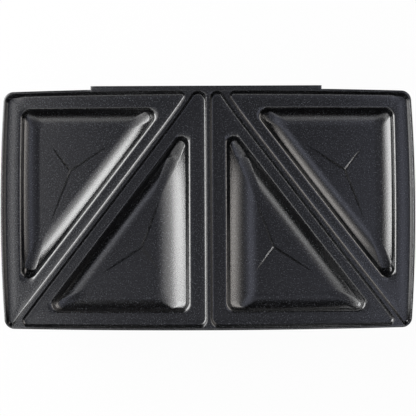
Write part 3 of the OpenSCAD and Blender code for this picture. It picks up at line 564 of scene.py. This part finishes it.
def shades(colour, darker, lighter):
    """The colour times darker, and times lighter up to white."""
    return tuple(c * darker for c in colour), tuple(min(1, c * lighter) for c in colour)


def nonstick():
    """Dark non-stick coating: pale specks in the colour, a fine orange-peel grain, and clouds in
    the gloss."""
    m, tree, shader, place = blank_finish("nonstick_coating", (0.01, 0.01, 0.011), 0.15, ior=2.0)
    specks = ramp(tree, noise(tree, place, 1500, detail=2, roughness=0.7), [
        (0.43, (0.0, 0.0, 0.0)), (0.5, (0.0007, 0.0007, 0.0008)), (0.57, (0.009, 0.0092, 0.01)),
        (0.65, (0.055, 0.057, 0.062))])
    gloss = ramp(tree, noise(tree, place, 900, detail=3), [(0.3, 0.14), (0.7, 0.18)])
    tree.links.new(specks, shader.inputs["Base Color"])
    tree.links.new(gloss, shader.inputs["Roughness"])
    bump(tree, shader, noise(tree, place, 2000, detail=3), strength=1.0, distance=0.00008)
    return m


def plastic(name, colour, roughness=0.5, grain=3200, depth=0.00006):
    """Moulding with a fine spark-eroded grain and faint cloudy changes in gloss and tone."""
    m, tree, shader, place = blank_finish(name, colour, roughness)
    gloss = ramp(tree, noise(tree, place, 60, detail=4),
                 [(0.3, roughness - 0.05), (0.7, roughness + 0.06)])
    dark, light = shades(colour, 0.85, 1.2)
    tone = ramp(tree, noise(tree, place, 1500, detail=3), [(0.3, dark), (0.7, light)])
    tree.links.new(gloss, shader.inputs["Roughness"])
    tree.links.new(tone, shader.inputs["Base Color"])
    pits = noise(tree, place, grain, detail=3, roughness=0.6)
    bump(tree, shader, pits, strength=0.35, distance=depth)
    return m


def sheet_metal(name, colour, roughness, streak=(40, 2200, 2200), tint=0.12, spots=None):
    """Rolled or plated metal: streaks drawn out along one direction in gloss and bump, clouds in
    tone, and spots of another colour where they are given."""
    m, tree, shader, place = blank_finish(name, colour, roughness, metallic=1.0)
    line = noise(tree, mapped(tree, place, Scale=streak), 1.0, detail=3)
    gloss = ramp(tree, line, [(0.3, roughness - 0.08), (0.7, roughness + 0.1)])
    dark, light = shades(colour, 1 - tint, 1 + tint / 2)
    stops = [(0.3, dark), (0.65, light)]
    if spots is not None:
        stops = [(0.3, dark), (0.55, light), (0.8, spots)]
    tree.links.new(gloss, shader.inputs["Roughness"])
    tree.links.new(ramp(tree, noise(tree, place, 55, detail=4), stops), shader.inputs["Base Color"])
    bump(tree, shader, line, strength=0.1, distance=0.00002)
    return m


def braid(name, colour):
    """Woven sleeve: two crossing waves, multiplied, in colour and height."""
    m, tree, shader, place = blank_finish(name, colour, 0.6)
    both = tree.nodes.new("ShaderNodeMath")
    both.operation = "MULTIPLY"
    for socket, turn in zip(both.inputs, (0.8, -0.8)):
        wave = tree.nodes.new("ShaderNodeTexWave")
        wave.inputs["Scale"].default_value = 700
        tree.links.new(mapped(tree, place, Rotation=(turn, 0.3, turn)), wave.inputs["Vector"])
        tree.links.new(wave.outputs["Fac"], socket)
    weave = both.outputs[0]
    tree.links.new(ramp(tree, weave, [(0.0, shades(colour, 0.6, 1)[0]), (0.6, colour)]),
                   shader.inputs["Base Color"])
    bump(tree, shader, weave, strength=0.5, distance=0.0001)
    return m


finishes = {
    "nonstick_casting": nonstick(),
    "housing_plastic": plastic("housing_plastic", (0.022, 0.022, 0.024), 0.46),
    "pressed_steel": sheet_metal("pressed_steel", (0.5, 0.5, 0.52), 0.36),
    "plated_steel": sheet_metal("plated_steel", (0.66, 0.66, 0.68), 0.26, (1800, 1800, 1800)),
    "reflector_sheet": sheet_metal("reflector_sheet", (0.8, 0.81, 0.82), 0.2, (30, 2400, 2400),
                                   0.08),
    "heater_sheath": sheet_metal("heater_sheath", (0.2, 0.17, 0.15), 0.45, (300, 300, 300), 0.35,
                                 spots=(0.3, 0.22, 0.16)),
    "ceramic": plastic("ceramic", (0.72, 0.67, 0.57), 0.42, 2000, 0.00004),
    "terminal_brass": sheet_metal("terminal_brass", (0.72, 0.56, 0.25), 0.28, (900, 900, 900)),
    "black_rubber": plastic("black_rubber", (0.014, 0.014, 0.014), 0.62, 2600, 0.00008),
    "blue_sleeve": braid("blue_sleeve", (0.07, 0.16, 0.5)),
    "red_sleeve": braid("red_sleeve", (0.5, 0.05, 0.035)),
    "brown_sleeve": braid("brown_sleeve", (0.2, 0.08, 0.03)),
    "green_sleeve": braid("green_sleeve", (0.1, 0.38, 0.06)),
    "catch_plastic": plastic("catch_plastic", (0.1, 0.1, 0.105), 0.4),
}
slot_of = {s["node"]: s["material_slot"] for s in frame["record"]["subparts"]}
body_of = {n: b for b, names in frame["record"]["behaviour"]["bodies"].items() for n in names}

# ------------------------------------------------ pieces
cast = casting()
heater_rib(cast)
catch_lugs(cast)
plate = cast.piece("cooking_plate_casting")
plate.data.materials.append(finishes["nonstick_casting"])
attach(plate, "plate")
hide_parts("cooking_plate")

# small pieces with plain faces stay as they come, and smoothed copies stand for the rest
PLAIN = ["thermostat_bracket", "bracket_screws", "fuse_clip", "terminal_block", "terminal_screws",
         "cord_clamp", "clamp_screws", "spade_connectors", "earth_tag", "frame_screws",
         "tray_screws"]
for node, source in frame["nodes"].items():
    if node == "cooking_plate":
        continue
    slot = slot_of[node]
    if node in PLAIN:
        source.data.materials.clear()
        source.data.materials.append(finishes[slot])
        continue
    piece = smooth_piece(node + "_shell", source.data.copy(), SHELL_SMOOTH, SHELL_WELD, turn=False)
    piece.data.materials.clear()
    piece.data.materials.append(finishes[slot])
    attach(piece, body_of[node])
    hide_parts(node)


# ------------------------------------------------ stage, lamps and camera, in metres
WHITE, WARM, COOL, COLD = (1, 1, 1), (1.0, 0.95, 0.91), (0.9, 0.93, 1.0), (0.76, 0.8, 1.0)
# upright lamps: azimuth, half width, lower and upper elevation in degrees, radiance, distance and
# colour. The left lamp has three layers, so that its upper edge is soft
SOFTBOXES = {
    "softbox_left_core": (163, 27, -4, 43, 3.2, 0.8, WHITE),
    "softbox_left_middle": (163, 27, -4, 50, 1.9, 0.8, WHITE),
    "softbox_left_wide": (163, 29, -4, 56, 0.75, 0.8, WHITE),
    "softbox_right": (21, 29, -1, 27, 1.6, 1.2, WARM),
    "softbox_right_wide": (21, 29, -1, 40, 0.9, 1.2, WARM),
    "softbox_right_dim": (21, 29, -1, 58, 0.12, 1.0, COOL),
}
# strip lamps overhead: place, width, depth, radiance and colour
STRIPS = {
    "ceiling_left": ((-0.25, 0.0, 0.42), 0.8, 0.15, 1.2, WHITE),
    "ceiling_right": ((0.21, -0.02, 0.42), 0.6, 0.1, 0.6, COLD),
    "ceiling_front": ((-0.02, -0.235, 0.42), 0.5, 0.13, 0.8, WHITE),
}
# the ceiling: a soft ring of light, darker in its middle, which lies a little to the right and rear
CEILING_MIDDLE = (0.1, 0.05, 0.994)
CEILING = [(0.0, 0.01), (0.8, (0.02, 0.02, 0.022)), (0.88, (0.11, 0.113, 0.13)),
           (0.94, (0.26, 0.266, 0.31)), (0.965, (0.26, 0.266, 0.31)), (0.988, (0.13, 0.133, 0.155)),
           (1.0, (0.065, 0.067, 0.077))]
# floor: its size, its place just under the feet, its tone, and how much of it is white backdrop
FLOOR, FLOOR_Z, FLOOR_TONE, BACKDROP = 40, -0.0002, 0.9, 0.96
# camera straight above: height over the rim, sensor in millimetres, place, turn in degrees, nearest
# and farthest it sees; then the render's width in pixels and what a pixel spans at the rim
CAMERA_UP, SENSOR, CAMERA_X, CAMERA_TURN, CLIP = 0.9, 36, 0.0001, -0.25, (0.01, 50)
FRAME_PX, PX_MM = 416, 0.5586


def seen_mix(tree, out, seen, plain, backdrop):
    """Mixes two shaders: backdrop by the share seen, plain by what is left."""
    mix = tree.nodes.new("ShaderNodeMixShader")
    tree.links.new(seen, mix.inputs["Fac"])
    tree.links.new(plain.outputs[0], mix.inputs[1])
    tree.links.new(backdrop.outputs[0], mix.inputs[2])
    tree.links.new(mix.outputs[0], out.inputs["Surface"])


def stage_floor():
    """A white floor. The camera and mirror-like surfaces see it as a white backdrop that still
    darkens a little where the object shades it."""
    bpy.ops.mesh.primitive_plane_add(size=FLOOR, location=(0, 0, FLOOR_Z))
    floor = bpy.context.object
    floor.name = "floor"
    m = bpy.data.materials.new("backdrop")
    m.use_nodes = True
    tree = m.node_tree
    tree.nodes.clear()
    out = tree.nodes.new("ShaderNodeOutputMaterial")
    pale = tree.nodes.new("ShaderNodeBsdfDiffuse")
    pale.inputs["Color"].default_value = (FLOOR_TONE, FLOOR_TONE, FLOOR_TONE, 1)
    glow = tree.nodes.new("ShaderNodeEmission")
    glow.inputs["Strength"].default_value = 1.0
    rays = tree.nodes.new("ShaderNodeLightPath")
    either, share = tree.nodes.new("ShaderNodeMath"), tree.nodes.new("ShaderNodeMath")
    either.operation, share.operation = "MAXIMUM", "MULTIPLY"
    share.inputs[1].default_value = BACKDROP
    tree.links.new(rays.outputs["Is Camera Ray"], either.inputs[0])
    tree.links.new(rays.outputs["Is Glossy Ray"], either.inputs[1])
    tree.links.new(either.outputs[0], share.inputs[0])
    seen_mix(tree, out, share.outputs[0], pale, glow)
    floor.data.materials.append(m)


def lamp_panel(name, place, width, height, radiance, colour):
    """Rectangular lamp that faces the object. Its power is radiance times its area times pi."""
    lamp = bpy.data.lights.new(name, "AREA")
    lamp.shape = "RECTANGLE"
    lamp.size, lamp.size_y = width, height
    lamp.energy = radiance * width * height * math.pi
    lamp.color = colour
    obj = bpy.data.objects.new(name, lamp)
    turn = Vector(place).to_track_quat("Z", "Y")
    obj.matrix_world = Matrix.Translation(Vector(place)) @ turn.to_matrix().to_4x4()
    obj.visible_camera = False
    bpy.context.scene.collection.objects.link(obj)


def softbox(name, azimuth, half, low, high, radiance, distance, colour):
    """Upright lamp round one azimuth, from one elevation to another, all in degrees as the object
    sees it: a panel of twice the distance times the tangent of half of each angle."""
    a, e = math.radians(azimuth), math.radians((low + high) / 2)
    place = (math.cos(e) * math.cos(a) * distance, math.cos(e) * math.sin(a) * distance,
             math.sin(e) * distance)
    lamp_panel(name, place, 2 * distance * math.tan(math.radians(half)),
               2 * distance * math.tan(math.radians((high - low) / 2)), radiance, colour)


def studio_ceiling():
    """World that is white to the camera. All else sees a dim room, its tone read off CEILING by the
    cosine of the angle from the ceiling's middle."""
    world = bpy.data.worlds.new("room")
    bpy.context.scene.world = world
    world.use_nodes = True
    tree = world.node_tree
    room = tree.nodes["Background"]
    facing = tree.nodes.new("ShaderNodeTexCoord")
    cosine = tree.nodes.new("ShaderNodeVectorMath")
    cosine.operation = "DOT_PRODUCT"
    cosine.inputs[1].default_value = CEILING_MIDDLE
    tree.links.new(facing.outputs["Generated"], cosine.inputs[0])
    tree.links.new(ramp(tree, cosine.outputs["Value"], CEILING), room.inputs["Color"])
    white = tree.nodes.new("ShaderNodeBackground")
    for shader in (room, white):
        shader.inputs["Strength"].default_value = 1.0
    rays = tree.nodes.new("ShaderNodeLightPath")
    seen_mix(tree, tree.nodes["World Output"], rays.outputs["Is Camera Ray"], room, white)


def overhead_camera():
    """Camera straight above the rim. Its lens is the sensor times the height over the view's width,
    which is the pixels times what one spans."""
    camera = bpy.data.cameras.new("camera")
    camera.sensor_width = SENSOR
    camera.lens = SENSOR * CAMERA_UP / (FRAME_PX * PX_MM * MM)
    camera.clip_start, camera.clip_end = CLIP
    eye = bpy.data.objects.new("camera", camera)
    eye.location = (CAMERA_X, 0.0, CAMERA_UP + TOP_Z * MM)
    eye.rotation_euler = (0, 0, math.radians(CAMERA_TURN))
    bpy.context.scene.collection.objects.link(eye)
    bpy.context.scene.camera = eye


stage_floor()
for name, lamp in SOFTBOXES.items():
    softbox(name, *lamp)
for name, lamp in STRIPS.items():
    lamp_panel(name, *lamp)
studio_ceiling()
overhead_camera()
bpy.context.scene.view_settings.view_transform = "Standard"
